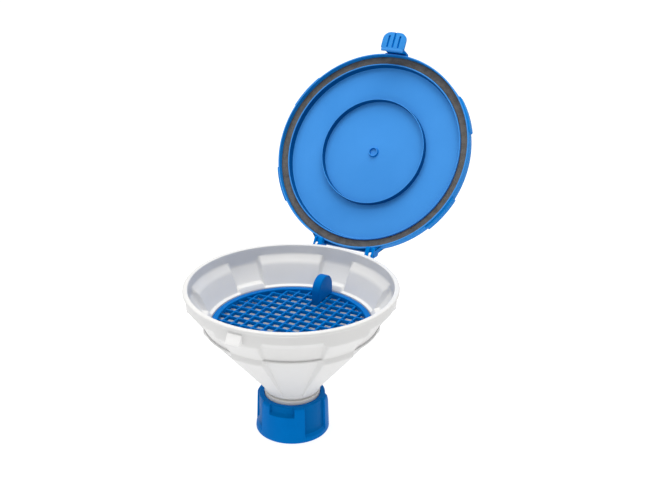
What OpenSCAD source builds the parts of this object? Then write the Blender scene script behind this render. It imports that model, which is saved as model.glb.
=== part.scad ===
// Safety waste funnel for a canister: bowl with drop-in sieve, hinged lid
// with latch, and a screw cap that turns on the neck. Millimetres, +Z up.
// The origin is the centre of the screw cap's mouth. The hinge is at +Y.

/* [Funnel bowl] */
// Radius over the rim bead
rim_outer_radius = 100; // [95:0.5:105]
// Radius of the rim's inner edge
rim_inner_radius = 95.2; // [90:0.1:97]
// Height of the rim above the cap's mouth
rim_height = 150; // [140:0.5:160]
// Outer radius of the wall just under the rim bead
wall_radius = 98.3; // [96:0.1:99]
// Height where the plain wall starts to slope inward
slope_top = 133; // [128:0.5:138]
// Outer radius of the ledge band below the slope
ledge_radius = 82.8; // [80:0.1:86]
// Height of the ledge band's upper edge
ledge_top = 113.7; // [111:0.1:116]
// Height of the ledge band's lower edge
ledge_bottom = 107.8; // [105:0.1:109]
// Radius of the cone where it meets the neck
cone_foot_radius = 27.6; // [26:0.1:30]
// Height of the cone's foot
cone_foot = 45.6; // [44.5:0.1:48]

/* [Bowl panels] */
// Number of recessed panels round the bowl
panel_count = 6; // [3:1:8]
// Half the angle one recessed panel covers outside
panel_half_angle = 18; // [12:0.5:22]
// Half the angle the same panel covers inside
panel_inner_half_angle = 20.4; // [14:0.1:25]
// Height of the sieve seats inside
seat_height = 110.5; // [108:0.1:112]
// Inner radius of the sieve seats
seat_radius = 71.5; // [69:0.1:74]
// Radius of the pocket the sieve drops into
pocket_radius = 75.8; // [75.6:0.1:77]

/* [Neck] */
// Inner radius of the outlet
outlet_radius = 21; // [18:0.1:22]
// Outer radius of the neck
neck_radius = 24; // [23:0.1:25]
// Height of the neck's lower end
neck_bottom = 28.6; // [26:0.1:30]
// Outer radius of the swivel collar that the cap turns on
collar_radius = 26.72; // [26:0.01:28]
// Height of the collar's upper face
collar_top = 41.4; // [39:0.1:43]
// Radius of the collar's flange and of the neck seal
flange_radius = 28.6; // [27.5:0.1:28.8]
// Height of the flange's lower face
flange_bottom = 31; // [30:0.1:32]
// Height of the flange's upper face
flange_top = 34.2; // [33:0.1:34.2]

/* [Screw cap] */
// Height of the screw cap
cap_height = 37.6; // [34:0.1:40]
// Radius of the cap at its foot
cap_foot_radius = 35.35; // [34:0.05:37]
// Radius of the cap at its shoulder
cap_shoulder_radius = 34.1; // [33:0.05:36]
// Radius of the threaded bore, at the thread's crest
thread_crest_radius = 29; // [28:0.05:30]
// Height of the upper end of the threaded bore
thread_top = 28.2; // [24:0.1:28.4]
// Height of the underside of the cap's top plate
cap_ceiling = 34.4; // [32:0.1:35]
// Radius of the opening in the cap's top plate
cap_opening_radius = 26.8; // [26:0.01:28]
// Half the angle of one notch or one finger flute
cap_grip_half_angle = 21.5; // [15:0.5:28]
// Radius at the back of a notch
notch_radius = 31.4; // [30.5:0.1:33]
// Height where a notch starts
notch_bottom = 29.5; // [24:0.5:32]
// Radius at the back of a finger flute
flute_radius = 32; // [31:0.1:34]
// Height where a finger flute starts
flute_bottom = 8; // [5:0.5:14]

/* [Sieve] */
// Outer radius of the sieve
sieve_radius = 75.25; // [73:0.05:77]
// Inner radius of the sieve's flat ring
sieve_ring_inner = 71.2; // [68:0.1:71.2]
// Height of the sieve ring's upper face
sieve_top = 113; // [112:0.1:115]
// Thickness of the sieve ring
sieve_ring_thick = 2.4; // [1.5:0.1:2.5]
// Height of the grid's upper face
grid_top = 111.4; // [110.5:0.1:112]
// Depth of the grid bars
grid_depth = 3.4; // [2:0.1:5]
// Distance between grid bars
grid_pitch = 10.75; // [8:0.05:14]
// Width of one grid bar
grid_bar = 1.9; // [1.5:0.1:3]
// Thickness of the sieve's grip
grip_thick = 8.6; // [6:0.1:12]
// Near edge of the grip, from the axis
grip_near = 47; // [40:0.5:50]
// Far edge of the grip, from the axis
grip_far = 74.6; // [68:0.1:75]
// Height of the grip's top
grip_top = 135; // [125:0.5:140]

/* [Hinge] */
// Distance from the funnel's axis to the hinge line
hinge_offset = 106.5; // [104:0.1:110]
// Height of the hinge line
hinge_height = 144.9; // [143:0.1:147]
// Angle the lid stands open at its stop
open_angle = 123.3; // [90:0.1:130]
// Distance of a hinge lug from the middle
lug_distance = 29.9; // [25:0.1:34]
// Width of a hinge lug
lug_width = 2.4; // [2:0.1:3.2]
// Gap on each side of a lug between the fork's ears
lug_gap = 0.2; // [0.1:0.05:0.4]
// Radius of the eyes round the hinge pins
eye_radius = 2.8; // [2.4:0.1:3.2]
// Radius of a hinge pin
pin_radius = 1.2; // [1:0.05:1.6]
// Gap between a pin and its lug
pin_gap = 0.06; // [0.02:0.01:0.1]

/* [Lid] */
// Outer radius of the lid's skirt
lid_radius = 103; // [102:0.1:105]
// Inner radius of the lid's skirt
skirt_inner_radius = 101.5; // [101:0.1:102]
// Height of the closed lid's lip
lip_height = 144.3; // [143:0.1:146]
// Height of the closed lid's ceiling
lid_ceiling = 155.15; // [154:0.05:157]
// Thickness of the lid's plate
lid_thick = 2.3; // [2:0.1:3]
// Outer radius of the locating ring inside the rim
locating_radius = 93.4; // [92:0.1:94.5]
// Depth of the locating ring below the ceiling
locating_depth = 7.1; // [5:0.1:8]
// Radius of the stiffening ring
rib_radius = 55; // [45:0.5:65]
// Depth of the stiffening ring
rib_depth = 6.4; // [2:0.1:7.5]
// How far a skirt pad stands out
pad_thick = 1.8; // [1:0.1:2.5]
// Half the angle of a skirt pad
pad_half_angle = 11; // [8:0.5:14]

/* [Latch] */
// Width of the latch arm
arm_width = 22; // [16:0.5:26]
// Distance from the axis to the latch's pivot
latch_pivot_offset = 105.2; // [104.5:0.1:106]
// Height of the latch's pivot, lid closed
latch_pivot_height = 151; // [149:0.1:153]
// Radius of the latch's pivot bead
bead_radius = 1.55; // [1.2:0.05:2]
// Width of the thumb tab
tab_width = 25.8; // [20:0.1:30]
// Distance from the axis to the tab's free edge
tab_reach = 121.9; // [118:0.1:128]
// Thickness of the thumb tab
tab_thick = 2.6; // [2:0.1:3.5]
// Height of the tab's lower face, lid closed
tab_bottom = 132.6; // [131:0.1:133]
// Width of the hook under the tab
hook_width = 24; // [8:0.5:24]
// Width of the catch
catch_width = 14; // [10:0.5:20]

/* [Hidden] */
$fn = 96;
eps = 0.01;
lid_top = lid_ceiling + lid_thick;
gasket_face = rim_height + 0.25;
gasket_inner = locating_radius + 0.1;
gasket_outer = skirt_inner_radius - 0.1;
lug_inner = lug_distance - lug_width / 2;
lug_outer = lug_distance + lug_width / 2;
ear_inner = lug_inner - lug_gap;
ear_outer = lug_outer + lug_gap;
ear_inner_end = ear_inner - 4.2;
ear_outer_end = ear_outer + 2.2;
bridge_face = hinge_offset - eye_radius - 0.3;
grip_round = (grip_far - grip_near) / 2;
grip_mid = (grip_far + grip_near) / 2;
grid_count = 6;

// ---- helpers ----

// Lid parts are drawn with the lid closed, then swung open to the stop.
module swung_open() {
    translate([0, hinge_offset, hinge_height])
        rotate([-open_angle, 0, 0])
            translate([0, -hinge_offset, -hinge_height])
                children();
}

// A ring sector centred on an angle, with its section given as [r, z].
module sector(middle, half, section) {
    rotate([0, 0, middle - half])
        rotate_extrude(angle = 2 * half)
            polygon(section);
}

// Something repeated at each panel; panels are half a step off the hinge.
module at_panels() {
    for (i = [0 : panel_count - 1])
        rotate([0, 0, 90 + 180 / panel_count + i * 360 / panel_count])
            children();
}

// A cylinder along X between two positions.
module rod_x(x0, x1, y, z, r) {
    translate([x0, y, z])
        rotate([0, 90, 0])
            cylinder(h = x1 - x0, r = r);
}

// A block given by its two corners.
module block(a, b) {
    translate(a)
        cube(b - a);
}

// ---- funnel ----

module bowl_outside() {
    rotate_extrude()
        polygon([
            [0, neck_bottom], [neck_radius, neck_bottom], [neck_radius, cone_foot - 1.6],
            [cone_foot_radius - 0.6, cone_foot - 1.6], [cone_foot_radius, cone_foot],
            [ledge_radius, ledge_bottom], [ledge_radius, ledge_top],
            [wall_radius - 1, slope_top], [wall_radius, rim_height - 3.4],
            [rim_outer_radius - 0.8, rim_height - 3.4], [rim_outer_radius, rim_height - 2.6],
            [rim_outer_radius, rim_height - 1], [rim_outer_radius - 1, rim_height],
            [0, rim_height]
        ]);
}

module bowl_inside() {
    rotate_extrude()
        polygon([
            [0, neck_bottom - 1], [outlet_radius, neck_bottom - 1],
            [outlet_radius, cone_foot - 2.9], [pocket_radius, ledge_bottom - 3.9],
            [pocket_radius, 113.6], [78.9, 118], [84.1, 118.3], [94.9, slope_top + 1.4],
            [rim_inner_radius, rim_height - 0.6], [rim_inner_radius + 0.6, rim_height + eps],
            [rim_inner_radius + 0.6, rim_height + 1], [0, rim_height + 1]
        ]);
}

// What one panel takes away outside: below the ledge and above it.
module panel_recess() {
    sector(0, panel_half_angle, [
        [cone_foot_radius, cone_foot + 1.4], [75.6, 107.6], [77.6, ledge_top - 1.9],
        [ledge_radius + 2, ledge_top - 1.9], [ledge_radius + 2, ledge_bottom - 0.5],
        [cone_foot_radius + 2, cone_foot - 0.2]
    ]);
    sector(0, panel_half_angle, [
        [80.9, ledge_top], [90.3, 131.4], [wall_radius - 0.6, 137.8],
        [wall_radius + 3, 137.8], [wall_radius + 3, 128], [ledge_radius + 3, ledge_top]
    ]);
}

// What the same panel adds inside, so the wall keeps its thickness.
module panel_step() {
    sector(0, panel_inner_half_angle, [
        [outlet_radius + 2.2, cone_foot - 0.6], [seat_radius, seat_height - 3.8],
        [seat_radius, seat_height], [pocket_radius + 2, seat_height],
        [pocket_radius + 2, 104], [outlet_radius + 6, cone_foot - 1]
    ]);
    sector(0, panel_inner_half_angle, [
        [80.4, 117.2], [88, 133.6], [94.8, 140.6], [97, 141.2], [97, 133], [86, 116],
        [82, 115.5]
    ]);
}

// The ledge between panels has a chamfer; at a panel the ledge is flat.
module panel_ledge() {
    sector(0, panel_inner_half_angle, [
        [pocket_radius - 1, 112.8], [79.2, 114.6], [80.96, 119], [pocket_radius - 1, 119]
    ]);
}

module funnel_body() {
    color([0.93, 0.93, 0.92])
        difference() {
            difference() {
                bowl_outside();
                at_panels()
                    panel_recess();
            }
            difference() {
                bowl_inside();
                at_panels()
                    panel_step();
            }
            at_panels()
                panel_ledge();
        }
}

// The ramp the latch snaps under.
module catch() {
    color([0.97, 0.97, 0.96])
        difference() {
            translate([-catch_width / 2, 0, 0])
                rotate([90, 0, 90])
                    linear_extrude(height = catch_width)
                        polygon([
                            [-95.6, 143.9], [-98.8, 143.9], [-99.5, 143.3],
                            [-103.5, 135.9], [-103.5, 134.9], [-95.6, 134.9]
                        ]);
            rotate_extrude()
                polygon([
                    [0, slope_top], [wall_radius - 1, slope_top],
                    [wall_radius, rim_height - 3.4], [0, rim_height - 3.4]
                ]);
        }
}

// One lug: an arm from under the rim, an eye, and the heel the lid stops on.
module hinge_lug(side) {
    difference() {
        translate([side * lug_distance - lug_width / 2, 0, 0])
            rotate([90, 0, 90])
                linear_extrude(height = lug_width)
                    union() {
                        polygon([
                            [91, 137], [94, 137.2], [101, 139.6], [105.4, 142.3],
                            [108, 144], [105, 146], [103.8, 144], [91, 144]
                        ]);
                        translate([hinge_offset, hinge_height])
                            circle(r = eye_radius);
                        translate([hinge_offset, hinge_height])
                            polygon([
                                [0, -eye_radius], [5.2, -2.5], [6, -0.9], [5.8, -0.24],
                                [1.65, 2.5], [0, 2]
                            ]);
                    }
        rod_x(side * lug_distance - 5, side * lug_distance + 5,
              hinge_offset, hinge_height, pin_radius + pin_gap);
        rotate_extrude()
            polygon([
                [0, slope_top], [wall_radius - 1, slope_top],
                [wall_radius, rim_height - 3.4],
                [rim_outer_radius - 0.8, rim_height - 3.4], [rim_outer_radius, rim_height - 2.6],
                [rim_outer_radius, rim_height], [0, rim_height]
            ]);
    }
}

module hinge_lug_left() {
    color([0.97, 0.97, 0.96])
        hinge_lug(-1);
}

module hinge_lug_right() {
    color([0.97, 0.97, 0.96])
        hinge_lug(1);
}

// ---- neck and cap ----

// Snap-on sleeve: the cap turns on it and its flange holds the cap up.
module swivel_collar() {
    color([0.86, 0.84, 0.8])
        rotate_extrude()
            polygon([
                [neck_radius + 0.02, flange_bottom], [flange_radius, flange_bottom],
                [flange_radius, flange_top], [collar_radius, flange_top],
                [collar_radius, collar_top - 0.5], [collar_radius - 0.5, collar_top],
                [neck_radius + 0.02, collar_top]
            ]);
}

module neck_seal() {
    color([0.2, 0.2, 0.2])
        rotate_extrude()
            polygon([
                [neck_radius + 0.02, neck_bottom], [flange_radius, neck_bottom],
                [flange_radius, flange_bottom], [neck_radius + 0.02, flange_bottom]
            ]);
}

module cap_outside() {
    rotate_extrude()
        polygon([
            [thread_crest_radius, 0], [cap_foot_radius - 0.6, 0], [cap_foot_radius, 0.8],
            [cap_shoulder_radius, cap_height - 2.6], [cap_shoulder_radius - 0.6, cap_height - 1.2],
            [cap_shoulder_radius - 2.2, cap_height - 0.2], [cap_shoulder_radius - 3, cap_height],
            [cap_opening_radius, cap_height], [cap_opening_radius, cap_ceiling],
            [thread_crest_radius + 0.5, cap_ceiling], [thread_crest_radius + 0.5, thread_top + 0.3],
            [thread_crest_radius, thread_top]
        ]);
}

// Three pads with a notch each, and three finger flutes between them.
module screw_cap() {
    color([0.0, 0.4, 0.74])
        difference() {
            cap_outside();
            for (i = [0 : 2]) {
                sector(41 + i * 120, cap_grip_half_angle, [
                    [notch_radius, notch_bottom + 1], [notch_radius + 0.4, notch_bottom + 0.2],
                    [cap_foot_radius + 2, notch_bottom - 3],
                    [cap_foot_radius + 2, cap_height - 0.7], [notch_radius, cap_height - 0.7]
                ]);
                sector(-19 + i * 120, cap_grip_half_angle, [
                    [flute_radius, flute_bottom + 2], [flute_radius + 1, flute_bottom],
                    [cap_foot_radius + 2, flute_bottom - 3.4], [cap_foot_radius + 2, cap_height - 0.7],
                    [flute_radius - 0.4, cap_height - 0.7]
                ]);
            }
        }
}

// ---- sieve ----

module sieve_ring() {
    color([0.0, 0.42, 0.8])
        rotate_extrude()
            polygon([
                [sieve_ring_inner - 1.6, grid_top - grid_depth],
                [sieve_ring_inner, grid_top - grid_depth],
                [sieve_ring_inner, sieve_top - sieve_ring_thick],
                [sieve_radius - 0.4, sieve_top - sieve_ring_thick],
                [sieve_radius, sieve_top - sieve_ring_thick + 0.4],
                [sieve_radius, sieve_top - 0.5], [sieve_radius - 0.5, sieve_top],
                [sieve_ring_inner - 1.2, sieve_top], [sieve_ring_inner - 1.6, sieve_top - 0.4]
            ]);
}

module sieve_grid() {
    color([0.0, 0.4, 0.76])
        intersection() {
            translate([0, 0, grid_top - grid_depth])
                cylinder(h = grid_depth, r = sieve_ring_inner - 1.6);
            union()
                for (i = [-grid_count : grid_count - 1]) {
                    translate([(i + 0.5) * grid_pitch - grid_bar / 2, -80, grid_top - grid_depth])
                        cube([grid_bar, 160, grid_depth]);
                    translate([-80, (i + 0.5) * grid_pitch - grid_bar / 2, grid_top - grid_depth])
                        cube([160, grid_bar, grid_depth]);
                }
        }
}

module sieve_grip() {
    color([0.0, 0.45, 0.85])
        difference() {
            union() {
                rod_x(-grip_thick / 2, grip_thick / 2, grip_mid, grip_top - grip_round, grip_round);
                block([-grip_thick / 2, grip_near, grid_top],
                      [grip_thick / 2, grip_far, grip_top - grip_round]);
            }
            block([-grip_thick, grip_near - 1, grid_top - 30],
                  [grip_thick, grip_far + 1, grid_top]);
            translate([0, 0, grid_top - 1])
                difference() {
                    cylinder(h = sieve_top - grid_top + 1, r = 90);
                    translate([0, 0, -1])
                        cylinder(h = 10, r = sieve_ring_inner - 1.6);
                }
        }
}

// ---- lid ----

module lid_shell() {
    color([0.27, 0.58, 0.9])
        swung_open()
            rotate_extrude()
                polygon([
                    [0, lid_ceiling - 0.2], [3.6, lid_ceiling - 0.2], [3.9, lid_ceiling - 2.4],
                    [4.9, lid_ceiling - 2.4], [5.4, lid_ceiling], [locating_radius - 1.7, lid_ceiling],
                    [locating_radius - 1.5, lid_ceiling - locating_depth + 0.4],
                    [locating_radius - 1.1, lid_ceiling - locating_depth],
                    [locating_radius - 0.4, lid_ceiling - locating_depth],
                    [locating_radius, lid_ceiling - locating_depth + 0.4],
                    [locating_radius, lid_ceiling], [skirt_inner_radius, lid_ceiling],
                    [skirt_inner_radius, lip_height + 0.3], [skirt_inner_radius + 0.3, lip_height],
                    [lid_radius - 0.3, lip_height], [lid_radius, lip_height + 0.3],
                    [lid_radius, lid_top - 1.4], [lid_radius - 1.4, lid_top],
                    [lid_radius - 9, lid_top], [lid_radius - 10, lid_top - 0.5], [0, lid_top - 0.5]
                ]);
}

module lid_gasket() {
    color([0.36, 0.35, 0.34])
        swung_open()
            rotate_extrude()
                polygon([
                    [gasket_inner, lid_ceiling], [gasket_inner, gasket_face + 0.3],
                    [gasket_inner + 0.3, gasket_face], [gasket_outer - 0.3, gasket_face],
                    [gasket_outer, gasket_face + 0.3], [gasket_outer, lid_ceiling]
                ]);
}

module stiffening_ring() {
    color([0.22, 0.5, 0.84])
        swung_open()
            rotate_extrude()
                polygon([
                    [rib_radius - 0.9, lid_ceiling], [rib_radius - 0.6, lid_ceiling - rib_depth],
                    [rib_radius + 0.6, lid_ceiling - rib_depth], [rib_radius + 0.9, lid_ceiling]
                ]);
}

module skirt_pads() {
    color([0.0, 0.44, 0.83])
        swung_open()
            for (a = [30, -30, 150, -150])
                sector(a, pad_half_angle, [
                    [lid_radius, lip_height + 1.4], [lid_radius + pad_thick - 0.3, lip_height + 1.4],
                    [lid_radius + pad_thick, lip_height + 1.8],
                    [lid_radius + pad_thick, lid_top - 2], [lid_radius, lid_top - 1.4]
                ]);
}

// The section of a fork's ear, lid closed: an eye, and a foot round the skirt's lip.
module ear_section() {
    difference() {
        union() {
            translate([hinge_offset, hinge_height])
                circle(r = eye_radius);
            polygon([
                [94, lip_height + 1], [98.3, lip_height + 1], [98.4, 143.2], [99.6, 142.1],
                [106.4, 142.1], [109.2, 145], [108, 148.4], [104.4, lid_top - 2],
                [94, lid_top - 2]
            ]);
        }
        translate([hinge_offset, hinge_height])
            circle(r = pin_radius);
    }
}

module ear(x0, x1) {
    translate([x0, 0, 0])
        rotate([90, 0, 90])
            linear_extrude(height = x1 - x0)
                ear_section();
}

// Two ears, the bridge behind the slot for the lug, and a web along the skirt.
module hinge_fork() {
    difference() {
        union() {
            ear(ear_inner_end, ear_inner);
            ear(ear_outer, ear_outer_end);
            block([ear_inner - 0.5, 94, lip_height], [ear_outer + 0.5, bridge_face, lid_top - 2]);
            difference() {
                block([ear_outer_end - 0.5, 94, lip_height + 1],
                      [ear_outer_end + 6.5, 102.4, lid_top - 3]);
                translate([ear_outer_end + 7.4, 103, lip_height])
                    cylinder(h = 20, r = 7, $fn = 96);
            }
        }
        translate([0, 0, lip_height])
            cylinder(h = 40, r = lid_radius, $fn = 480);
    }
}

module hinge_fork_right() {
    color([0.0, 0.44, 0.83])
        swung_open()
            hinge_fork();
}

module hinge_fork_left() {
    color([0.0, 0.44, 0.83])
        swung_open()
            mirror([1, 0, 0])
                hinge_fork();
}

// The straight bar that joins the two forks behind the skirt.
module hinge_bar() {
    color([0.0, 0.4, 0.78])
        swung_open()
            difference() {
                block([-ear_inner_end, 96, lip_height + 4], [ear_inner_end, 103.6, lid_top - 2]);
                translate([0, 0, lip_height])
                    cylinder(h = 40, r = lid_radius, $fn = 480);
            }
}

module hinge_pin_right() {
    color([0.1, 0.5, 0.9])
        rod_x(ear_inner_end, ear_outer_end, hinge_offset, hinge_height, pin_radius);
}

module hinge_pin_left() {
    color([0.1, 0.5, 0.9])
        rod_x(-ear_outer_end, -ear_inner_end, hinge_offset, hinge_height, pin_radius);
}

// ---- latch ----

// The pad on the skirt that the latch hangs from.
module latch_root() {
    color([0.0, 0.44, 0.83])
        swung_open()
            difference() {
                block([-arm_width / 2 - 1.5, -104.1, 146.4], [arm_width / 2 + 1.5, -99, lid_top - 1.5]);
                translate([0, 0, lip_height - 10])
                    cylinder(h = 40, r = lid_radius, $fn = 480);
                rod_x(-arm_width, arm_width, -latch_pivot_offset, latch_pivot_height, bead_radius + 0.15);
            }
}

module latch_arm() {
    color([0.0, 0.44, 0.83])
        swung_open() {
            rod_x(-arm_width / 2, arm_width / 2, -latch_pivot_offset, latch_pivot_height, bead_radius);
            block([-arm_width / 2, -106.6, tab_bottom + tab_thick],
                  [arm_width / 2, -104.4, latch_pivot_height]);
        }
}

// The hook that snaps under the catch.
module latch_hook() {
    color([0.0, 0.44, 0.83])
        swung_open()
            translate([-hook_width / 2, 0, 0])
                rotate([90, 0, 90])
                    linear_extrude(height = hook_width)
                        polygon([
                            [-104.4, tab_bottom], [-102.4, tab_bottom],
                            [-101.3, tab_bottom + 0.9], [-101.3, tab_bottom + 1.7],
                            [-104.4, tab_bottom + 1.7]
                        ]);
}

module tab_outline() {
    hw = tab_width / 2;
    polygon([
        [-hw + 0.6, -104.4], [-hw, -105], [-hw, -tab_reach + 6.5], [-hw + 1.2, -tab_reach + 3.6],
        [-hw + 5.4, -tab_reach + 0.4], [-hw + 7.4, -tab_reach], [hw - 7.4, -tab_reach],
        [hw - 5.4, -tab_reach + 0.4], [hw - 1.2, -tab_reach + 3.6], [hw, -tab_reach + 6.5],
        [hw, -105], [hw - 0.6, -104.4]
    ]);
}

// The plate a thumb pulls up, with three grooves in its underside.
module thumb_tab() {
    color([0.25, 0.62, 0.98])
        swung_open()
            difference() {
                translate([0, 0, tab_bottom])
                    linear_extrude(height = tab_thick)
                        tab_outline();
                for (x = [-5.9, 0, 5.9])
                    block([x - 1, -tab_reach + (x == 0 ? -1 : 3.6), tab_bottom - 1],
                          [x + 1, -104.9, tab_bottom + 1.5]);
            }
}

funnel_body();
catch();
hinge_lug_left();
hinge_lug_right();
swivel_collar();
neck_seal();
screw_cap();
sieve_ring();
sieve_grid();
sieve_grip();
lid_shell();
lid_gasket();
stiffening_ring();
skirt_pads();
hinge_fork_left();
hinge_fork_right();
hinge_bar();
hinge_pin_left();
hinge_pin_right();
latch_root();
latch_arm();
latch_hook();
thumb_tab();
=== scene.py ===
"""Looks for the safety waste funnel: white bowl, blue hinged lid, sieve and screw cap."""

import math

import bmesh
import bpy
from mathutils import Matrix, Vector


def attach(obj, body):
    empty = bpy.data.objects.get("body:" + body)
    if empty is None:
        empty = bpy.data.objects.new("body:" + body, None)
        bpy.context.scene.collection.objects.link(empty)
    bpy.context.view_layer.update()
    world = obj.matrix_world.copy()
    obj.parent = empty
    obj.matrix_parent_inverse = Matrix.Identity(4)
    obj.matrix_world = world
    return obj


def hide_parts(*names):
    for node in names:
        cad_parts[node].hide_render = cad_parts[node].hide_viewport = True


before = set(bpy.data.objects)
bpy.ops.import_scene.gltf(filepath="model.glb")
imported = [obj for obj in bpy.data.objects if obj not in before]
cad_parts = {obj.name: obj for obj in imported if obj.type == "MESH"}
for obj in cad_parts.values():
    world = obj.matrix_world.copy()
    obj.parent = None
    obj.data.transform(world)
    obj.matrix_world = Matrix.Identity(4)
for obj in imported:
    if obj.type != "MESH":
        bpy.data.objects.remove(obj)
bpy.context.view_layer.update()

MM = 0.001
DEG = math.pi / 180.0

# ------------------------------------------------------------------ sizes (mm)
HINGE_Y, HINGE_Z = 106.5, 144.9
OPEN_ANGLE = 123.3
LUG_X, LUG_W, LUG_GAP = 29.9, 2.4, 0.2
EYE_R, PIN_R = 2.8, 1.2
LID_R, SKIRT_R, LIP_Z = 103.0, 101.5, 144.3
CEIL_Z = 155.15
TOP_Z = CEIL_Z + 2.3
LOC_R, LOC_DEPTH = 93.4, 7.1
RIB_R, RIB_DEPTH = 55.0, 6.4
BOWL_WALL_R = 97.9    # pieces fixed to the bowl's outside stop here, inside its wall
SKIRT_WALL_R = 102.3  # pieces fixed to the lid's skirt stop here, inside its wall
SIEVE_TOP, GRID_TOP, GRID_DEPTH = 113.0, 111.4, 3.4
GRID_PITCH, GRID_BAR = 10.75, 1.9
PIVOT_Y, PIVOT_Z = 105.2, 151.0
TAB_Z, TAB_REACH, TAB_T = 132.6, 121.9, 2.6

SWING = (
    Matrix.Translation(Vector((0, HINGE_Y, HINGE_Z)) * MM)
    @ Matrix.Rotation(-OPEN_ANGLE * DEG, 4, "X")
    @ Matrix.Translation(Vector((0, -HINGE_Y, -HINGE_Z)) * MM)
)
STILL = Matrix.Identity(4)


# ------------------------------------------------------------------ materials
def rgb(r, g, b):
    """An sRGB colour, 0 to 255, as the linear colour a shader takes."""
    out = []
    for c in (r, g, b):
        c = c / 255.0
        out.append(c / 12.92 if c <= 0.04045 else ((c + 0.055) / 1.055) ** 2.4)
    return out


def noise(nt, coord, scale, detail):
    """A noise texture in object space."""
    node = nt.nodes.new("ShaderNodeTexNoise")
    node.inputs["Scale"].default_value = scale
    node.inputs["Detail"].default_value = detail
    nt.links.new(coord.outputs["Object"], node.inputs["Vector"])
    return node


def two_tone(nt, source, low, high, start, end):
    """Two colours blended by a value, into the shader's base colour."""
    ramp = nt.nodes.new("ShaderNodeValToRGB")
    ramp.color_ramp.elements[0].position = start
    ramp.color_ramp.elements[0].color = (*low, 1)
    ramp.color_ramp.elements[1].position = end
    ramp.color_ramp.elements[1].color = (*high, 1)
    nt.links.new(source, ramp.inputs["Fac"])
    nt.links.new(ramp.outputs["Color"], nt.nodes["Principled BSDF"].inputs["Base Color"])


def moulded(name, low, high, rough=(0.3, 0.42), grain=0.25, cloud=22.0,
            sss=0.0, specular=0.5, tint=(1, 1, 1)):
    """Moulded plastic: two close tones in soft clouds, spark-eroded grain, uneven gloss."""
    mat = bpy.data.materials.new(name)
    mat.use_nodes = True
    nt = mat.node_tree
    nodes, links = nt.nodes, nt.links
    bsdf = nodes["Principled BSDF"]
    coord = nodes.new("ShaderNodeTexCoord")
    clouds = noise(nt, coord, cloud, 4.0)
    clouds.inputs["Roughness"].default_value = 0.55
    clouds.inputs["Distortion"].default_value = 0.4
    two_tone(nt, clouds.outputs["Fac"], low, high, 0.30, 0.70)
    gloss = nodes.new("ShaderNodeMapRange")
    gloss.inputs["From Min"].default_value = 0.3
    gloss.inputs["From Max"].default_value = 0.7
    gloss.inputs["To Min"].default_value = rough[0]
    gloss.inputs["To Max"].default_value = rough[1]
    links.new(noise(nt, coord, cloud * 4.0, 3.0).outputs["Fac"], gloss.inputs["Value"])
    links.new(gloss.outputs["Result"], bsdf.inputs["Roughness"])
    wave = nodes.new("ShaderNodeBump")
    wave.inputs["Strength"].default_value = 0.18
    wave.inputs["Distance"].default_value = 0.0008
    links.new(noise(nt, coord, 70.0, 1.0).outputs["Fac"], wave.inputs["Height"])
    bump = nodes.new("ShaderNodeBump")
    bump.inputs["Strength"].default_value = grain
    bump.inputs["Distance"].default_value = 0.00006
    links.new(noise(nt, coord, 2600.0, 2.0).outputs["Fac"], bump.inputs["Height"])
    links.new(wave.outputs["Normal"], bump.inputs["Normal"])
    links.new(bump.outputs["Normal"], bsdf.inputs["Normal"])
    bsdf.inputs["Specular IOR Level"].default_value = specular
    bsdf.inputs["Specular Tint"].default_value = (*tint, 1)
    if sss:
        bsdf.inputs["Subsurface Weight"].default_value = sss
        bsdf.inputs["Subsurface Radius"].default_value = (1.0, 1.0, 1.0)
        bsdf.inputs["Subsurface Scale"].default_value = 0.004
    return mat


def foam(name, low, high):
    """Closed-cell rubber: matte, with small open pores and a faint mottle."""
    mat = bpy.data.materials.new(name)
    mat.use_nodes = True
    nt = mat.node_tree
    nodes, links = nt.nodes, nt.links
    bsdf = nodes["Principled BSDF"]
    coord = nodes.new("ShaderNodeTexCoord")
    cells = nodes.new("ShaderNodeTexVoronoi")
    cells.inputs["Scale"].default_value = 900.0
    links.new(coord.outputs["Object"], cells.inputs["Vector"])
    mottle = noise(nt, coord, 160.0, 5.0)
    mix = nodes.new("ShaderNodeMath")
    mix.operation = "MULTIPLY_ADD"
    mix.inputs[1].default_value = 0.35
    links.new(cells.outputs["Distance"], mix.inputs[0])
    links.new(mottle.outputs["Fac"], mix.inputs[2])
    two_tone(nt, mix.outputs[0], low, high, 0.40, 0.80)
    bump = nodes.new("ShaderNodeBump")
    bump.inputs["Strength"].default_value = 0.5
    bump.inputs["Distance"].default_value = 0.00015
    links.new(mix.outputs[0], bump.inputs["Height"])
    links.new(bump.outputs["Normal"], bsdf.inputs["Normal"])
    bsdf.inputs["Roughness"].default_value = 0.85
    bsdf.inputs["Specular IOR Level"].default_value = 0.3
    return mat


# The darker blues and the brighter white follow how the photographed faces shade.
BLUE_GLOSS = (0.03, 0.45, 1.0)
WHITE = moulded("white_polyethylene", (0.695, 0.695, 0.694), (0.730, 0.730, 0.729),
                rough=(0.38, 0.50), grain=0.22, cloud=14.0, sss=0.10)
# A lighter copy of the white plastic, painted light, for the catch and the hinge lugs.
WHITE_PAINTED_LIGHT = moulded("white_polyethylene_painted_light", (0.88, 0.88, 0.88), (0.92, 0.92, 0.92),
                 rough=(0.38, 0.50), grain=0.22, cloud=14.0)
COLLAR = moulded("collar_plastic", rgb(226, 223, 218), rgb(233, 231, 227),
                 rough=(0.35, 0.45), grain=0.2)
# A darker copy of the one blue, painted shade, for the cap, the hinge forks, the latch, the
# lid's centre boss walls and the tab's grooves.
BLUE_PAINTED_SHADE = moulded("blue_painted_shade", (0.0, 0.165, 0.56), (0.0, 0.19, 0.62),
               rough=(0.36, 0.48), grain=0.3, specular=0.05, tint=BLUE_GLOSS)
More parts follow.
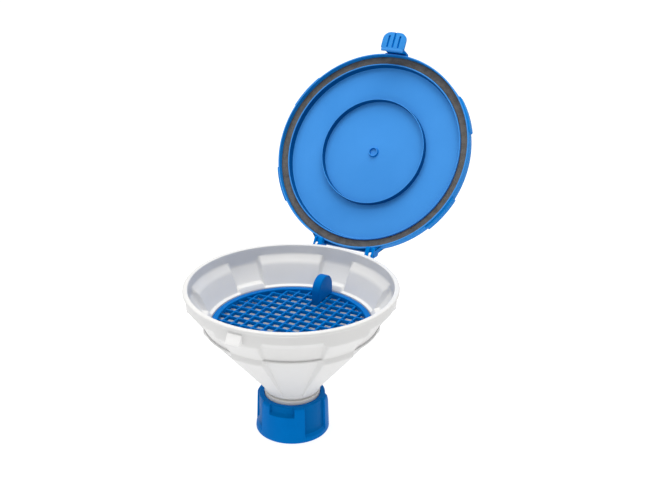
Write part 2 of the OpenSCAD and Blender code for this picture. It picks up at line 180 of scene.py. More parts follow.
# A darker copy of the one blue, painted shade, for the sieve low in the bowl.
SIEVE_BLUE_PAINTED_SHADE = moulded("sieve_blue_painted_shade", (0.0, 0.120, 0.42), (0.0, 0.140, 0.47),
                rough=(0.34, 0.46), grain=0.25, specular=0.05, tint=BLUE_GLOSS)
# A lighter copy of the one blue, painted light, for the lid's face, its rib, the hinge pins
# and the latch barb.
LID_BLUE_PAINTED_LIGHT = moulded("lid_blue_painted_light", (0.050, 0.255, 0.68), (0.062, 0.285, 0.73),
              rough=(0.34, 0.46), grain=0.22, cloud=12.0, specular=0.3, tint=BLUE_GLOSS)
# A darker copy of the one blue, painted shade, for the faces inside the cap's flutes.
FLUTE_BLUE_PAINTED_SHADE = moulded("flute_blue_painted_shade", (0.0, 0.125, 0.42), (0.0, 0.145, 0.46),
                rough=(0.36, 0.48), grain=0.3, specular=0.05, tint=BLUE_GLOSS)
# A darker copy of the one blue, painted shade, for the lid's skirt and its pads.
SKIRT_BLUE_PAINTED_SHADE = moulded("skirt_blue_painted_shade", (0.006, 0.195, 0.60), (0.010, 0.22, 0.65),
                rough=(0.34, 0.46), grain=0.22, cloud=12.0, specular=0.03, tint=BLUE_GLOSS)
# A slightly darker copy of the lid's blue, painted shade, for the thumb tab.
TAB_BLUE_PAINTED_SHADE = moulded("tab_blue_painted_shade", (0.030, 0.225, 0.62), (0.040, 0.25, 0.67),
              rough=(0.34, 0.46), grain=0.22, specular=0.2, tint=BLUE_GLOSS)
SHADE = moulded("shade_blue", (0.0, 0.070, 0.24), (0.0, 0.082, 0.28),
                rough=(0.40, 0.52), grain=0.22, cloud=12.0, specular=0.1, tint=BLUE_GLOSS)
GASKET = foam("gasket_foam", rgb(78, 76, 73), rgb(104, 101, 98))
SEAL = foam("seal_rubber", rgb(34, 34, 35), rgb(52, 52, 53))


# ------------------------------------------------------------------ mesh helpers
def rounded_path(points, steps=4, closed=True):
    """Rounds each corner of a section. A point is (a, b, setback)."""
    out = []
    n = len(points)
    for i, (a, b, d) in enumerate(points):
        here = Vector((a, b))
        if not closed and i in (0, n - 1):
            out.append((a, b))
            continue
        before = Vector(points[i - 1][:2]) - here
        after = Vector(points[(i + 1) % n][:2]) - here
        p0 = here + before.normalized() * min(d, before.length * 0.45)
        p2 = here + after.normalized() * min(d, after.length * 0.45)
        for k in range(steps + 1):
            t = k / steps
            p = p0 * (1 - t) ** 2 + here * (2 * t * (1 - t)) + p2 * t ** 2
            out.append((p.x, p.y))
    return out


def smoothstep(x):
    x = min(1.0, max(0.0, x))
    return x * x * (3 - 2 * x)


def sector_weight(angle, centres, inner, outer):
    """1 within inner degrees of a centre, 0 beyond outer, smooth between."""
    best = 0.0
    for c in centres:
        d = abs((angle - c + 180.0) % 360.0 - 180.0)
        best = max(best, smoothstep((outer - d) / (outer - inner)))
    return best


def angles(coarse, zones=(), fine=0.3):
    """Angles round a full turn, closer together inside the zones (centre, half)."""
    out, a = [], 0.0
    while a < 360.0 - 1e-6:
        out.append(a)
        near = any(abs((a - c + 180.0) % 360.0 - 180.0) <= h for c, h in zones)
        a += fine if near else coarse
    return out


def finish_mesh(name, bm, body, mat, place, sharp=35.0, nodes=(), painted_shade_walls=()):
    """A piece from its mesh. Upright faces at the radii of each (material, r0, r1) in the last
    argument take that darker material, as painted shade.
    """
    bmesh.ops.remove_doubles(bm, verts=bm.verts, dist=2e-7)
    bmesh.ops.dissolve_degenerate(bm, edges=bm.edges, dist=1e-7)
    bmesh.ops.recalc_face_normals(bm, faces=bm.faces)
    for face in bm.faces if painted_shade_walls else ():
        centre = face.calc_center_median()
        r = math.hypot(centre.x, centre.y) / MM
        for k, (_, r0, r1) in enumerate(painted_shade_walls):
            if abs(face.normal.z) < 0.7 and r0 < r < r1:
                face.material_index = k + 1
    bmesh.ops.transform(bm, matrix=place, verts=bm.verts)
    mesh = bpy.data.meshes.new(name)
    bm.to_mesh(mesh)
    bm.free()
    for p in mesh.polygons:
        p.use_smooth = True
    mesh.set_sharp_from_angle(angle=sharp * DEG)
    mesh.materials.append(mat)
    for wall in painted_shade_walls:
        mesh.materials.append(wall[0])
    obj = bpy.data.objects.new(name, mesh)
    bpy.context.scene.collection.objects.link(obj)
    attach(obj, body)
    if nodes:
        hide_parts(*nodes)
    return obj


def to_object(name, bm):
    """A plain object from a mesh, for a boolean."""
    mesh = bpy.data.meshes.new(name)
    bm.to_mesh(mesh)
    bm.free()
    obj = bpy.data.objects.new(name, mesh)
    bpy.context.scene.collection.objects.link(obj)
    return obj


def carve(block, cut, operation):
    """The exact boolean of two objects as a new bmesh; both objects are removed."""
    mod = block.modifiers.new("carve", "BOOLEAN")
    mod.operation = operation
    mod.solver = "EXACT"
    mod.object = cut
    bpy.context.view_layer.update()
    deps = bpy.context.evaluated_depsgraph_get()
    done = bpy.data.meshes.new_from_object(block.evaluated_get(deps))
    bpy.data.objects.remove(block)
    bpy.data.objects.remove(cut)
    bm = bmesh.new()
    bm.from_mesh(done)
    bpy.data.meshes.remove(done)
    return bm


def turned(bm, sections, turn, closed=True, full=True):
    """A skin from one section per angle, as (r, z) in mm, about Z."""
    rings = []
    for angle, section in zip(turn, sections):
        c, s = math.cos(angle * DEG) * MM, math.sin(angle * DEG) * MM
        rings.append([bm.verts.new((r * c, r * s, z * MM)) for r, z in section])
    n = len(rings[0])
    last = len(rings) if full else len(rings) - 1
    for i in range(last):
        a, b = rings[i], rings[(i + 1) % len(rings)]
        for k in range(n if closed else n - 1):
            j = (k + 1) % n
            quad = [a[k], b[k], b[j], a[j]]
            try:
                bm.faces.new(quad)
            except ValueError:
                pass
    if not full and closed:
        bm.faces.new(rings[0])
        bm.faces.new(list(reversed(rings[-1])))
    return rings


def lathe(name, points, body, mat, place=STILL, count=288, closed=True,
          steps=4, nodes=(), sharp=35.0, painted_shade_walls=()):
    bm = bmesh.new()
    section = rounded_path(points, steps, closed)
    turn = [i * 360.0 / count for i in range(count)]
    turned(bm, [section] * count, turn, closed)
    return finish_mesh(name, bm, body, mat, place, sharp, nodes, painted_shade_walls)


def prism(bm, outline, lo, hi, edge, put, steps=3):
    """An outline between lo and hi with its end edges rounded by edge (mm)."""
    pts = [Vector(p) for p in outline]
    n = len(pts)
    area = sum(pts[i].x * pts[(i + 1) % n].y - pts[(i + 1) % n].x * pts[i].y
               for i in range(n))
    sign = 1.0 if area > 0 else -1.0
    inward = []
    for i in range(n):
        a, b = pts[i] - pts[i - 1], pts[(i + 1) % n] - pts[i]
        na = Vector((-a.y, a.x)).normalized() * sign
        nb = Vector((-b.y, b.x)).normalized() * sign
        m = na + nb
        inward.append(m / max(0.6, m.length_squared / 2.0) if m.length > 1e-6 else na)
    levels = [(lo + edge * (1 - math.sin(k / steps * math.pi / 2)),
               edge * (1 - math.cos(k / steps * math.pi / 2))) for k in range(steps, -1, -1)]
    levels += [(hi - edge * (1 - math.sin(k / steps * math.pi / 2)),
                edge * (1 - math.cos(k / steps * math.pi / 2))) for k in range(steps + 1)]
    rings = []
    for level, inset in levels:
        rings.append([bm.verts.new(put(p.x + q.x * inset, p.y + q.y * inset, level))
                      for p, q in zip(pts, inward)])
    for a, b in zip(rings, rings[1:]):
        for i in range(n):
            j = (i + 1) % n
            bm.faces.new((a[i], a[j], b[j], b[i]))
    bm.faces.new(list(reversed(rings[0])))
    bm.faces.new(rings[-1])
    return [v for r in rings for v in r]


def along_x(u, v, level):
    return (level * MM, u * MM, v * MM)


def along_z(u, v, level):
    return (u * MM, v * MM, level * MM)


def hug(verts, radius, side=1.0):
    """Vertices that reach inside a wall stop in its middle."""
    for v in verts:
        r = radius * MM
        if abs(v.co.x) < r:
            wall = math.sqrt(r * r - v.co.x ** 2)
            if side * v.co.y < wall:
                v.co.y = side * wall


def eye(cy, cz, r, a0, a1, count=18):
    """Points on an arc, in degrees, each with no setback."""
    out = []
    for i in range(count + 1):
        a = (a0 + (a1 - a0) * i / count) * DEG
        out.append((cy + r * math.cos(a), cz + r * math.sin(a), 0.05))
    return out


# ------------------------------------------------------------------ funnel body
PANELS = [i * 60.0 for i in range(6)]
BETWEEN = [
    (24, 28.6, .3), (24, 44.0, .3), (27.0, 44.0, .3), (27.7, 45.7, .6),
    (82.8, 107.8, 1.6), (82.8, 111.4, .1), (82.8, 111.9, .1), (82.8, 113.6, .6),
    (83.0, 113.95, .1), (95.8, 131.0, .3), (97.3, 133.0, 1.6), (98.25, 146.6, .5),
    (99.2, 146.6, .3), (100, 147.4, .4), (100, 149, .6), (99, 150, .6),
    (95.8, 150, .5), (95.2, 149.4, .4),
    (95.0, 141.0, .3), (94.9, 134.4, 2.4), (84.1, 118.4, 1.4), (79.0, 118.0, 1.0),
    (75.9, 113.6, .8), (75.8, 110.9, .1), (75.8, 110.3, .1), (75.8, 103.9, 1.5),
    (23.3, 45.25, .3), (21, 42.7, 1.0), (21, 28.6, .3),
]
PANEL = [
    (24, 28.6, .3), (24, 44.0, .3), (27.0, 44.0, .3), (27.6, 47.0, .5),
    (75.7, 107.6, 1.4), (77.6, 111.8, .6), (82.7, 111.8, .5), (82.7, 113.6, .5),
    (81.0, 113.8, .5), (90.4, 131.4, 2.2), (97.7, 137.9, 1.2), (98.25, 146.6, .5),
    (99.2, 146.6, .3), (100, 147.4, .4), (100, 149, .6), (99, 150, .6),
    (95.8, 150, .5), (95.2, 149.4, .4),
    (94.8, 140.7, 1.6), (88.0, 133.6, 2.4), (79.6, 115.6, .4), (79.0, 114.4, .6),
    (75.8, 113.6, .5), (75.8, 110.6, .3), (71.6, 110.6, .6), (71.5, 106.7, 1.4),
    (23.3, 45.0, .3), (21, 42.7, 1.0), (21, 28.6, .3),
]
STEPS = 4
b_path = rounded_path(BETWEEN, STEPS)
p_path = rounded_path(PANEL, STEPS)
SPLIT = 16 * (STEPS + 1)


def funnel_body():
    """One skin, blended between the section at a panel and the section between panels."""
    zones = [(c + s * 18.6, 3.0) for c in PANELS for s in (-1, 1)]
    turn = angles(1.0, zones, 0.3)
    sections = []
    for a in turn:
        section = []
        for k, ((rb, zb), (rp, zp)) in enumerate(zip(b_path, p_path)):
            if k < SPLIT:
                round_off = 1.6 * smoothstep((zp - 134.0) / 4.0) ** 2
                w = sector_weight(a, PANELS, 16.9 - round_off, 19.2 - round_off)
            else:
                round_off = 3.4 * max(0.0, min(1.0, (zp - 134.5) / 6.0)) ** 2.2
                w = sector_weight(a, PANELS, 18.6 - round_off, 21.2 - round_off * 0.8)
            section.append((rb + (rp - rb) * w, zb + (zp - zb) * w))
        sections.append(section)
    bm = bmesh.new()
    turned(bm, sections, turn)
    return finish_mesh("funnel_body_skin", bm, "funnel", WHITE,
                       STILL, 40.0, ("funnel_body",))


funnel_body()


def catch_piece():
    bm = bmesh.new()
    outline = rounded_path([
        (-95.6, 143.9, .1), (-98.9, 143.9, .4), (-99.7, 143.0, .5), (-103.5, 136.0, .5),
        (-103.5, 134.9, .4), (-95.6, 134.9, .1)], 3)
    verts = prism(bm, outline, -7, 7, 0.5, along_x)
    hug(verts, BOWL_WALL_R, -1.0)
    return finish_mesh("catch_wedge", bm, "funnel", WHITE_PAINTED_LIGHT,
                       STILL, 35.0, ("catch",))


catch_piece()


def hinge_lug(side, name, node):
    outline = [(94.0, 137.2, .3), (98.0, 138.4, 1.0), (101.0, 139.6, 1.0), (105.2, 142.2, .6)]
    outline += [(HINGE_Y + 5.1, HINGE_Z - 2.5, .5), (HINGE_Y + 5.95, HINGE_Z - 0.9, .4),
                (HINGE_Y + 5.75, HINGE_Z - 0.22, .3), (HINGE_Y + 1.75, HINGE_Z + 2.4, .4)]
    outline += eye(HINGE_Y, HINGE_Z, EYE_R, 85, 170, 10)
    outline += [(103.6, 144.0, .3), (94.0, 144.0, .3)]
    bm = bmesh.new()
    x0 = side * LUG_X - LUG_W / 2
    verts = prism(bm, rounded_path(outline, 3), x0, x0 + LUG_W, 0.3, along_x)
    hug(verts, BOWL_WALL_R, 1.0)
    return finish_mesh(name, bm, "funnel", WHITE_PAINTED_LIGHT, STILL, 35.0, (node,))


hinge_lug(-1, "lug_left", "hinge_lug_left")
hinge_lug(1, "lug_right", "hinge_lug_right")

# ------------------------------------------------------------------ neck and cap
lathe("swivel_sleeve", [
    (24.05, 31.05, .2), (28.55, 31.05, .3), (28.55, 34.15, .3), (26.7, 34.15, .2),
    (26.7, 35.2, .3), (26.2, 35.6, .3), (26.2, 40.2, .3), (26.7, 40.5, .2),
    (26.6, 41.0, .2), (26.1, 41.4, .2), (24.05, 41.4, .2)],
    "funnel", COLLAR, nodes=("swivel_collar",))
lathe("neck_gasket", [
    (24.05, 28.62, .3), (28.5, 28.62, .5), (28.5, 30.98, .5), (24.05, 30.98, .3)],
    "funnel", SEAL, nodes=("neck_seal",))

CAP_PLAIN = [
    (34.75, 0.0, .3), (35.35, 0.8, .35), (35.22, 4.6, .2), (35.1, 8.0, .2),
    (35.0, 10.2, .2),
    (34.4, 27.7, .2), (34.38, 28.2, .2), (34.1, 35.0, .8), (33.5, 36.4, .4),
    (31.9, 37.4, .4),
    (31.1, 37.6, .3), (26.8, 37.6, .4), (26.8, 34.4, .3), (29.5, 34.4, .3)]
CAP_NOTCH = [
    (34.75, 0.0, .3), (35.35, 0.8, .35), (35.22, 4.6, .2), (35.1, 8.0, .2),
    (35.0, 10.2, .2),
    (34.40, 27.3, .5), (31.6, 30.4, .8), (31.42, 35.0, .3), (31.42, 36.4, .2),
    (31.38, 37.15, .2),
    (31.1, 37.6, .25), (26.8, 37.6, .4), (26.8, 34.4, .3), (29.5, 34.4, .3)]
CAP_FLUTE = [
    (34.75, 0.0, .3), (35.35, 0.8, .35), (35.1, 4.8, .9), (33.0, 8.1, 1.1),
    (32.05, 10.6, 1.1),
    (31.8, 27.7, .2), (31.8, 28.2, .2), (31.62, 35.0, .3), (31.6, 36.4, .2),
    (31.5, 37.15, .2),
    (31.1, 37.6, .25), (26.8, 37.6, .4), (26.8, 34.4, .3), (29.5, 34.4, .3)]
THREAD_PITCH = 5.5


def thread_radius(angle, z):
    """The bore's radius: crests at 29 mm, with a helical groove between them."""
    phase = (z / THREAD_PITCH - angle / 360.0) % 1.0
    groove = smoothstep((abs(phase - 0.5) - 0.14) / 0.16)
    fade = smoothstep((z - 1.5) / 2.0) * smoothstep((27.6 - z) / 2.0)
    return 29.0 + 1.25 * groove * fade


def screw_cap():
    """Three pads with a notch, three finger flutes, and a thread inside."""
    flutes = [-19.0, 101.0, 221.0]
    notches = [41.0, 161.0, 281.0]
    zones = [(c + s * 21.4, 1.8) for c in flutes + notches for s in (-1, 1)]
    turn = angles(1.0, zones, 0.25)
    plain, notch, flute = (rounded_path(p, 3, True)[:len(CAP_PLAIN) * 4]
                           for p in (CAP_PLAIN, CAP_NOTCH, CAP_FLUTE))
    sections = []
    for a in turn:
        wn = sector_weight(a, notches, 20.8, 22.0)
        wf = sector_weight(a, flutes, 20.8, 22.0)
        section = []
        for (r0, z0), (r1, z1), (r2, z2) in zip(plain, notch, flute):
            section.append((r0 + (r1 - r0) * wn + (r2 - r0) * wf,
                            z0 + (z1 - z0) * wn + (z2 - z0) * wf))
        section.append((29.5, 28.6))
        z = 28.2
        while z > 0.9:
            section.append((thread_radius(a, z), z))
            z -= 0.45
        section.append((29.15, 0.45))
        section.append((29.5, 0.0))
        sections.append(section)
    bm = bmesh.new()
    turned(bm, sections, turn)
    # Upright faces at the flutes' radii take the flute blue: painted shade in the recesses.
    return finish_mesh("screw_cap_skin", bm, "cap", BLUE_PAINTED_SHADE,
                       STILL, 40.0, ("screw_cap",), ((FLUTE_BLUE_PAINTED_SHADE, 31.0, 33.2),))


screw_cap()

# ------------------------------------------------------------------ sieve
lathe("sieve_rim", [
    (69.6, GRID_TOP - GRID_DEPTH, .3), (71.2, GRID_TOP - GRID_DEPTH, .3),
    (71.2, 110.6, .4), (74.9, 110.6, .3), (75.25, 111.0, .3), (75.25, 112.4, .4),
    (74.7, SIEVE_TOP, .5), (70.1, SIEVE_TOP, .5), (69.6, 112.5, .3)],
    "sieve", SIEVE_BLUE_PAINTED_SHADE, nodes=("sieve_ring",))


def sieve_grid():
    """Square cells with softened corners, cut to a disc."""
    pitch, top, depth = GRID_PITCH, GRID_TOP, GRID_DEPTH
    hole = pitch / 2 - GRID_BAR / 2
    count = 24  # points round a cell, before its four corners

    def square(phi, half):
        c, s = math.cos(phi), math.sin(phi)
        k = half / max(abs(c), abs(s))
        return c * k, s * k

    def soft_square(phi, half, corner):
        x, y = square(phi, half)
        inner = half - corner
        if abs(x) > inner and abs(y) > inner:
            c, s = abs(math.cos(phi)), abs(math.sin(phi))
            b = inner * (c + s)
            t = b + math.sqrt(max(0.0, b * b - (2 * inner * inner - corner * corner)))
            return math.copysign(c * t, x), math.copysign(s * t, y)
        return x, y

    phis = [(i + 0.5) * 2 * math.pi / count for i in range(count)]
    phis = sorted(phis + [math.pi / 4 + k * math.pi / 2 for k in range(4)])
    bm = bmesh.new()
    cells = range(-7, 8)
    rings_def = [(hole + 0.35, 0.8, 0.0), (hole + 0.12, 0.7, 0.1), (hole, 0.6, 0.35),
                 (hole, 0.6, depth)]
    for i in cells:
        for j in cells:
            cx, cy = i * pitch, j * pitch
            loops = [[(square(p, pitch / 2), top) for p in phis]]
            for half, corner, down in rings_def:
                loops.append([(soft_square(p, half, corner), top - down) for p in phis])
            loops.append([(square(p, pitch / 2), top - depth) for p in phis])
            made = [[bm.verts.new(((cx + x) * MM, (cy + y) * MM, z * MM))
                     for (x, y), z in loop] for loop in loops]
            n = len(phis)
            for a, b in zip(made, made[1:]):
                for k in range(n):
                    m = (k + 1) % n
                    bm.faces.new((a[k], a[m], b[m], b[k]))
    bmesh.ops.remove_doubles(bm, verts=bm.verts, dist=2e-6)
    # close the outside of the block so it is one solid
    rim = [e for e in bm.edges if len(e.link_faces) == 1]
    bmesh.ops.bridge_loops(bm, edges=rim)
    bmesh.ops.recalc_face_normals(bm, faces=bm.faces)
    block = to_object("grid_block", bm)
    bm = bmesh.new()
    bmesh.ops.create_cone(bm, cap_ends=True, segments=256, radius1=70.0 * MM,
                          radius2=70.0 * MM, depth=12 * MM,
                          matrix=Matrix.Translation((0, 0, GRID_TOP * MM)))
    bm = carve(block, to_object("grid_cut", bm), "INTERSECT")
    return finish_mesh("sieve_mesh", bm, "sieve", SIEVE_BLUE_PAINTED_SHADE,
                       STILL, 30.0, ("sieve_grid",))


sieve_grid()


def sieve_grip():
    r, mid, top = 13.8, 60.8, 135.0
    outline = [(mid - r, 111.2, .1)]
    for i in range(33):
        a = math.pi - math.pi * i / 32
        outline.append((mid + r * math.cos(a), top - r + r * math.sin(a), .05))
    outline += [(mid + r, 112.0, .1), (mid + r - 0.2, 111.2, .1)]
    bm = bmesh.new()
    prism(bm, rounded_path(outline, 2), -4.3, 4.3, 1.1, along_x, 5)
    return finish_mesh("sieve_handle", bm, "sieve", SIEVE_BLUE_PAINTED_SHADE,
                       STILL, 35.0, ("sieve_grip",))


sieve_grip()

# ------------------------------------------------------------------ lid
# Upright faces of the locating ring, the centre boss and the skirt take darker blues: painted
# shade.
lathe("lid_pan", [
    (0, CEIL_Z - 0.2, 0), (3.6, CEIL_Z - 0.2, .3), (3.9, CEIL_Z - 2.4, .3),
    (4.8, CEIL_Z - 2.4, .3), (5.3, CEIL_Z, .4), (50.0, CEIL_Z, .5),
    (LOC_R - 2.2, CEIL_Z, 1.2),
    (LOC_R - 1.55, CEIL_Z - LOC_DEPTH + .4, .4), (LOC_R - 1.1, CEIL_Z - LOC_DEPTH, .3),
    (LOC_R - 0.4, CEIL_Z - LOC_DEPTH, .3), (LOC_R, CEIL_Z - LOC_DEPTH + .4, .3),
    (LOC_R, CEIL_Z - .05, .2),
    (SKIRT_R, CEIL_Z - .05, .2), (SKIRT_R, LIP_Z + 0.35, .3), (SKIRT_R + 0.35, LIP_Z, .3),
    (LID_R - 0.35, LIP_Z, .3), (LID_R, LIP_Z + 0.35, .3), (LID_R, TOP_Z - 1.4, .7),
    (LID_R - 1.4, TOP_Z, .7), (LID_R - 9, TOP_Z, .5), (LID_R - 10, TOP_Z - 0.5, .5),
    (6, TOP_Z - 0.5, .5), (0, TOP_Z - 0.5, 0)],
    "lid", LID_BLUE_PAINTED_LIGHT, SWING, 360, closed=False, nodes=("lid_shell",),
    painted_shade_walls=((SHADE, LOC_R - 3.0, LOC_R - 1.2), (BLUE_PAINTED_SHADE, 3.0, 6.0), (SKIRT_BLUE_PAINTED_SHADE, 101.0, 104.0)))
lathe("lid_seal", [
    (LOC_R + 0.1, CEIL_Z - .1, .1), (LOC_R + 0.1, 150.35, .5), (95.4, 150.25, .6),
    (97.5, 150.55, 1.0), (99.4, 150.25, .6), (SKIRT_R - 0.1, 150.35, .5),
    (SKIRT_R - 0.1, CEIL_Z - .1, .1)],
    "lid", GASKET, SWING, 360, nodes=("lid_gasket",))
# The rib's upright faces take the darkest blue: painted shade.
lathe("lid_ring", [
    (RIB_R - 1.0, CEIL_Z + .1, .1), (RIB_R - 0.9, CEIL_Z - .2, .3),
    (RIB_R - 0.6, CEIL_Z - RIB_DEPTH + .3, .4), (RIB_R - 0.2, CEIL_Z - RIB_DEPTH, .3),
    (RIB_R + 0.2, CEIL_Z - RIB_DEPTH, .3), (RIB_R + 0.6, CEIL_Z - RIB_DEPTH + .3, .4),
    (RIB_R + 0.9, CEIL_Z - .2, .3), (RIB_R + 1.0, CEIL_Z + .1, .1)],
    "lid", LID_BLUE_PAINTED_LIGHT, SWING, 256, nodes=("stiffening_ring",),
    painted_shade_walls=((SHADE, RIB_R - 2.0, RIB_R + 2.0),))


def skirt_pads():
    bm = bmesh.new()
    section = rounded_path([
        (102.4, LIP_Z + 1.4, .1), (104.4, LIP_Z + 1.4, .5), (104.8, LIP_Z + 2.2, .5),
        (104.8, TOP_Z - 2.4, .5), (104.3, TOP_Z - 1.9, .4), (102.4, TOP_Z - 1.6, .1)], 3)
    for centre in (30, -30, 150, -150):
        turn = [centre - 11 + 22 * i / 60 for i in range(61)]
        sections = []
        for a in turn:
            d = 11 - abs(a - centre)
            w = math.sqrt(max(0.0, 1 - (1 - min(1.0, d / 0.7)) ** 2))
            sections.append([(102.4 + (r - 102.4) * (0.25 + 0.75 * w), z) for r, z in section])
        turned(bm, sections, turn, True, False)
    return finish_mesh("lid_pads", bm, "lid", SKIRT_BLUE_PAINTED_SHADE, SWING, 40.0,
                       ("skirt_pads",))


skirt_pads()

EAR_IN = (LUG_X - LUG_W / 2 - LUG_GAP - 4.2, LUG_X - LUG_W / 2 - LUG_GAP)
EAR_OUT = (LUG_X + LUG_W / 2 + LUG_GAP, LUG_X + LUG_W / 2 + LUG_GAP + 2.2)
BRIDGE_Y = HINGE_Y - EYE_R - 0.3


def ear_outline():
    pts = [(94.0, LIP_Z + 1.2, .3), (98.3, LIP_Z + 0.6, .4), (98.5, 143.0, .8),
           (99.8, 142.1, .8)]
    pts += eye(HINGE_Y, HINGE_Z, EYE_R, 268, 372, 16)
    pts += [(108.0, 148.4, 1.2), (104.4, TOP_Z - 2.2, .8), (94.0, TOP_Z - 2.0, .3)]
    return rounded_path(pts, 3)


def hinge_fork(side, name, node):
    bm = bmesh.new()
    for span in (EAR_IN, EAR_OUT):
        lo, hi = sorted((side * span[0], side * span[1]))
        verts = prism(bm, ear_outline(), lo, hi, 0.35, along_x)
        hug([v for v in verts if v.co.z > (LIP_Z + 0.05) * MM], SKIRT_WALL_R, 1.0)
    bridge = rounded_path([(94.0, LIP_Z + 0.05, .2), (BRIDGE_Y, LIP_Z + 0.05, .4),
                           (BRIDGE_Y, TOP_Z - 2.4, .4), (94.0, TOP_Z - 2.4, .2)], 2)
    lo, hi = sorted((side * (EAR_IN[1] - 0.8), side * (EAR_OUT[0] + 0.8)))
    hug(prism(bm, bridge, lo, hi, 0.1, along_x), SKIRT_WALL_R, 1.0)
    x1 = EAR_OUT[1] - 0.5
    curve = []
    for i in range(17):
        t = i / 16
        x = x1 + 7.0 * t
        curve.append((x, math.sqrt(LID_R ** 2 - x * x) + 4.4 * (1 - t) ** 2.4 + 0.1))
    back = [(x, math.sqrt(SKIRT_WALL_R ** 2 - x * x)) for x, y in reversed(curve)]
    web = [(side * x, y) for x, y in curve + back]
    prism(bm, web, LIP_Z + 1.0, TOP_Z - 3.0, 0.4, along_z)
    return finish_mesh(name, bm, "lid", BLUE_PAINTED_SHADE, SWING, 35.0, (node,))


hinge_fork(-1, "fork_left", "hinge_fork_left")
hinge_fork(1, "fork_right", "hinge_fork_right")


def hinge_bar():
    bm = bmesh.new()
    front, wall = [], []
    for i in range(41):
        x = -EAR_IN[0] - 0.2 + (2 * EAR_IN[0] + 0.4) * i / 40
        front.append((x, 103.55))
        wall.append((x, math.sqrt(SKIRT_WALL_R ** 2 - x * x)))
    prism(bm, front + list(reversed(wall)), LIP_Z + 4.0, TOP_Z - 2.0, 0.35, along_z)
    return finish_mesh("fork_bar", bm, "lid", SHADE, SWING, 35.0,
                       ("hinge_bar",))


hinge_bar()


def hinge_pin(side, name, node):
    bm = bmesh.new()
    outline = [(HINGE_Y + PIN_R * math.cos(i * math.pi / 20),
                HINGE_Z + PIN_R * math.sin(i * math.pi / 20))
               for i in range(40)]
    lo, hi = sorted((side * EAR_IN[0], side * EAR_OUT[1]))
    prism(bm, outline, lo, hi, 0.3, along_x)
    return finish_mesh(name, bm, "lid", LID_BLUE_PAINTED_LIGHT, STILL, 35.0, (node,))


hinge_pin(-1, "pin_left", "hinge_pin_left")
hinge_pin(1, "pin_right", "hinge_pin_right")


# ------------------------------------------------------------------ latch
def latch_root():
    bm = bmesh.new()
    outline = rounded_path([
        (-99.0, 146.6, .1), (-103.9, 146.6, .5), (-104.1, 147.0, .4), (-104.1, 149.6, .5),
        (-103.4, 151.0, .8), (-104.1, 152.4, .5), (-104.1, TOP_Z - 2.2, .6),
        (-103.3, TOP_Z - 1.6, .4), (-99.0, TOP_Z - 1.6, .1)], 3)
    verts = prism(bm, outline, -12.5, 12.5, 0.5, along_x)
    hug(verts, 102.2, -1.0)
    return finish_mesh("latch_pad", bm, "lid", BLUE_PAINTED_SHADE, SWING, 35.0,
                       ("latch_root",))


def latch_arm():
    bm = bmesh.new()
    outline = [(-104.45, 149.4, .3)]
    outline += eye(-PIVOT_Y, PIVOT_Z, 1.5, -30, 210, 20)
    outline += [(-106.6, 149.6, .4), (-106.6, TAB_Z + TAB_T + 1.2, .6),
                (-107.4, TAB_Z + TAB_T - 0.2, .2), (-104.45, TAB_Z + TAB_T - 0.2, .2)]
    prism(bm, rounded_path(outline, 3), -11, 11, 0.4, along_x)
    return finish_mesh("latch_lever", bm, "latch", BLUE_PAINTED_SHADE, SWING, 35.0,
                       ("latch_arm",))


def latch_hook():
    bm = bmesh.new()
    outline = rounded_path([
        (-105.4, TAB_Z + 0.1, .1), (-102.5, TAB_Z + 0.1, .4), (-101.35, TAB_Z + 1.0, .3),
        (-101.35, TAB_Z + 1.65, .2), (-105.4, TAB_Z + 1.65, .1)], 3)
    prism(bm, outline, -12, 12, 0.3, along_x)
    return finish_mesh("latch_barb", bm, "latch", LID_BLUE_PAINTED_LIGHT, SWING, 35.0,
                       ("latch_hook",))


def thumb_tab():
    hw, reach, thick = 12.9, TAB_REACH, TAB_T
    outline = rounded_path([
        (-hw + 0.6, -104.45, .3), (-hw, -105.05, .3), (-hw, -reach + 6.5, 2.0),
        (-hw + 1.2, -reach + 3.4, 2.0), (-hw + 4.6, -reach + 0.6, 2.0),
        (-hw + 7.6, -reach, 1.4),
        (hw - 7.6, -reach, 1.4), (hw - 4.6, -reach + 0.6, 2.0),
        (hw - 1.2, -reach + 3.4, 2.0),
        (hw, -reach + 6.5, 2.0), (hw, -105.05, .3), (hw - 0.6, -104.45, .3)], 4)
    bm = bmesh.new()
    prism(bm, outline, TAB_Z, TAB_Z + thick, 0.45, along_z)
    bmesh.ops.recalc_face_normals(bm, faces=bm.faces)
    block = to_object("tab_block", bm)
    bm = bmesh.new()
    for x in (-5.9, 0.0, 5.9):
        slot = []
        y0, y1, w = -reach + (4.6 if x else -2.0), -105.9, 1.0
        for i in range(13):
            a = math.pi * i / 12
            slot.append((x + w * math.cos(a), y1 + w * math.sin(a)))
        for i in range(13):
            a = math.pi + math.pi * i / 12
            slot.append((x + w * math.cos(a), y0 + w * math.sin(a)))
        prism(bm, slot, TAB_Z - 1.0, TAB_Z + 1.5, 0.3, along_z)
    bmesh.ops.recalc_face_normals(bm, faces=bm.faces)
    bm = carve(block, to_object("tab_cut", bm), "DIFFERENCE")
    # Faces inside the three grooves take the darker blue: painted shade.
    for face in bm.faces:
        centre = face.calc_center_median() / MM
        in_groove = min(abs(centre.x - x) for x in (-5.9, 0.0, 5.9)) < 1.05
        if in_groove and TAB_Z + 0.3 < centre.z < TAB_Z + 2.0 and centre.y > -reach + 0.6:
            face.material_index = 1
    return finish_mesh("latch_tab", bm, "latch", TAB_BLUE_PAINTED_SHADE, SWING, 30.0,
                       ("thumb_tab",), ((BLUE_PAINTED_SHADE, 0, 0),))  # no radii: the grooves are set above


latch_root()
latch_arm()
latch_hook()
thumb_tab()

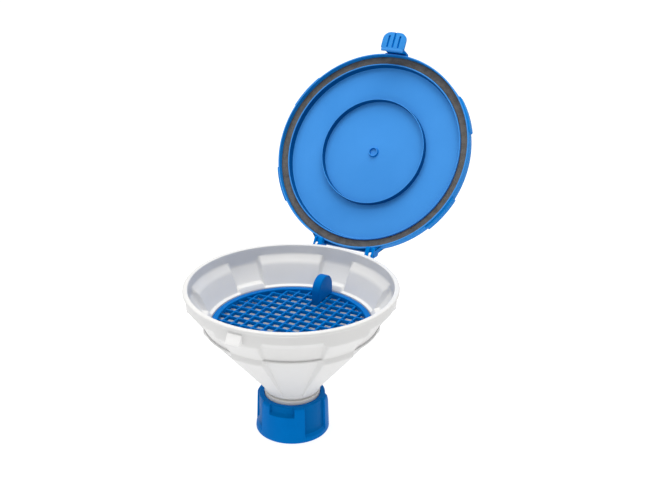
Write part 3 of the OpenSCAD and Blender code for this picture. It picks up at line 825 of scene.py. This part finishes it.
# ------------------------------------------------------------------ stage
def floor_material():
    mat = bpy.data.materials.new("floor")
    mat.use_nodes = True
    bsdf = mat.node_tree.nodes["Principled BSDF"]
    bsdf.inputs["Base Color"].default_value = (0.3, 0.3, 0.3, 1)
    bsdf.inputs["Roughness"].default_value = 0.9
    bsdf.inputs["Specular IOR Level"].default_value = 0.1
    bsdf.inputs["Emission Color"].default_value = (1, 1, 1, 1)
    bsdf.inputs["Emission Strength"].default_value = 0.87
    return mat


floor_mesh = bpy.data.meshes.new("floor")
floor_mesh.from_pydata([(-20, -20, 0), (20, -20, 0), (20, 20, 0), (-20, 20, 0)], [],
                       [(0, 1, 2, 3)])
floor_mesh.materials.append(floor_material())
floor = bpy.data.objects.new("floor", floor_mesh)
floor.location.z = -0.0002
bpy.context.scene.collection.objects.link(floor)

world = bpy.data.worlds.new("studio")
world.use_nodes = True
world.node_tree.nodes["Background"].inputs["Color"].default_value = (1, 1, 1, 1)
world.node_tree.nodes["Background"].inputs["Strength"].default_value = 0.42
bpy.context.scene.world = world


def softbox(name, place, target, size, power, tint=(1, 1, 1)):
    data = bpy.data.lights.new(name, "AREA")
    data.shape = "RECTANGLE"
    data.size, data.size_y = size
    data.energy = power
    data.color = tint
    light = bpy.data.objects.new(name, data)
    light.location = place
    light.rotation_euler = (Vector(target) - Vector(place)).to_track_quat("-Z", "Y").to_euler()
    bpy.context.scene.collection.objects.link(light)
    return light


softbox("key", (-1.1, -0.9, 1.7), (0, 0.05, 0.15), (1.2, 1.2), 7)
softbox("fill", (1.6, -0.9, 0.9), (0, 0.05, 0.15), (1.2, 1.2), 1.3, (1.0, 0.93, 0.82))
softbox("top", (0.0, 0.2, 2.4), (0, 0.05, 0.1), (2.2, 2.2), 57, (1.0, 0.985, 0.955))

# ------------------------------------------------------------------ camera
forward = Vector((-0.4238, 0.8181, -0.3887)).normalized()
right = Vector((0.88793, 0.45998, 0.0)).normalized()
up = right.cross(forward)
roll = 0.283 * DEG
x_axis = right * math.cos(roll) + up * math.sin(roll)
y_axis = -right * math.sin(roll) + up * math.cos(roll)
cam_data = bpy.data.cameras.new("camera")
cam_data.sensor_width = 36.0
cam_data.sensor_fit = "HORIZONTAL"
cam_data.lens = 59.99
cam_data.clip_start = 0.01
camera = bpy.data.objects.new("camera", cam_data)
matrix = Matrix((x_axis, y_axis, -forward)).transposed().to_4x4()
matrix.translation = Vector((0.455185, -0.801468, 0.575791))
camera.matrix_world = matrix
bpy.context.scene.collection.objects.link(camera)
bpy.context.scene.camera = camera
bpy.context.scene.view_settings.view_transform = "Standard"
